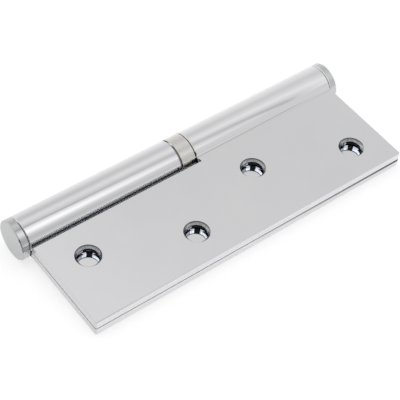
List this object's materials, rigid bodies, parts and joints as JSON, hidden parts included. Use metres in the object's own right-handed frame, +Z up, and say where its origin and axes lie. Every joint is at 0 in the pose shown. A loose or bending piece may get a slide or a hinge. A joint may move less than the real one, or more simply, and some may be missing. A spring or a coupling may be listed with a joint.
{
  "type": "ball bearing hinge",
  "caption": "Lift-off butt hinge in polished chrome: rolled leaves with countersunk screw holes, a pin, end caps and a ball thrust bearing between the knuckles.",
  "frame": {"origin": "on the pin's axis, in the middle of the bearing", "axes": "+X along the pin towards the end that lifts off, +Z up from the closed leaves, the leaves point along -Y"},
  "size_m": [0.1308, 0.05, 0.014],
  "materials": {
    "polished_chrome": "polished",
    "cap_chrome": "polished, fine turned",
    "satin_nickel": "satin nickel",
    "ground_steel": "ground",
    "bearing_steel": "lapped",
    "cage_brass": "satin"
  },
  "bodies": {
    "pin_half": {"bottom_leaf": "polished_chrome", "pin": "ground_steel", "left_end_cap": "cap_chrome", "lower_race": "bearing_steel", "bearing_ring": "satin_nickel"},
    "upper_race": {"upper_race": "bearing_steel"},
    "lift_off_half": {"top_leaf": "polished_chrome", "right_end_cap": "cap_chrome"},
    "ball_cage": {"ball_cage": "cage_brass", "ball_01": "bearing_steel", "ball_02": "bearing_steel", "ball_03": "bearing_steel", "ball_04": "bearing_steel", "ball_05": "bearing_steel", "ball_06": "bearing_steel", "ball_07": "bearing_steel", "ball_08": "bearing_steel", "ball_09": "bearing_steel", "ball_10": "bearing_steel", "ball_11": "bearing_steel", "ball_12": "bearing_steel"}
  },
  "joints": [
    {"name": "leaf_swing", "type": "hinge", "parent": "pin_half", "child": "upper_race", "pos_m": [0, 0, 0], "axis": [-1, 0, 0], "range_deg": [0, 315]},
    {"name": "lift_off", "type": "slide", "parent": "upper_race", "child": "lift_off_half", "axis": [1, 0, 0], "range_m": [0, 0.05]},
    {"name": "cage_turn", "type": "hinge", "parent": "pin_half", "child": "ball_cage", "pos_m": [0, 0, 0], "axis": [-1, 0, 0], "range_deg": [0, 157.5]}
  ],
  "couplings": [
    {"joint": "cage_turn", "follows": "leaf_swing", "ratio": 0.5}
  ]
}
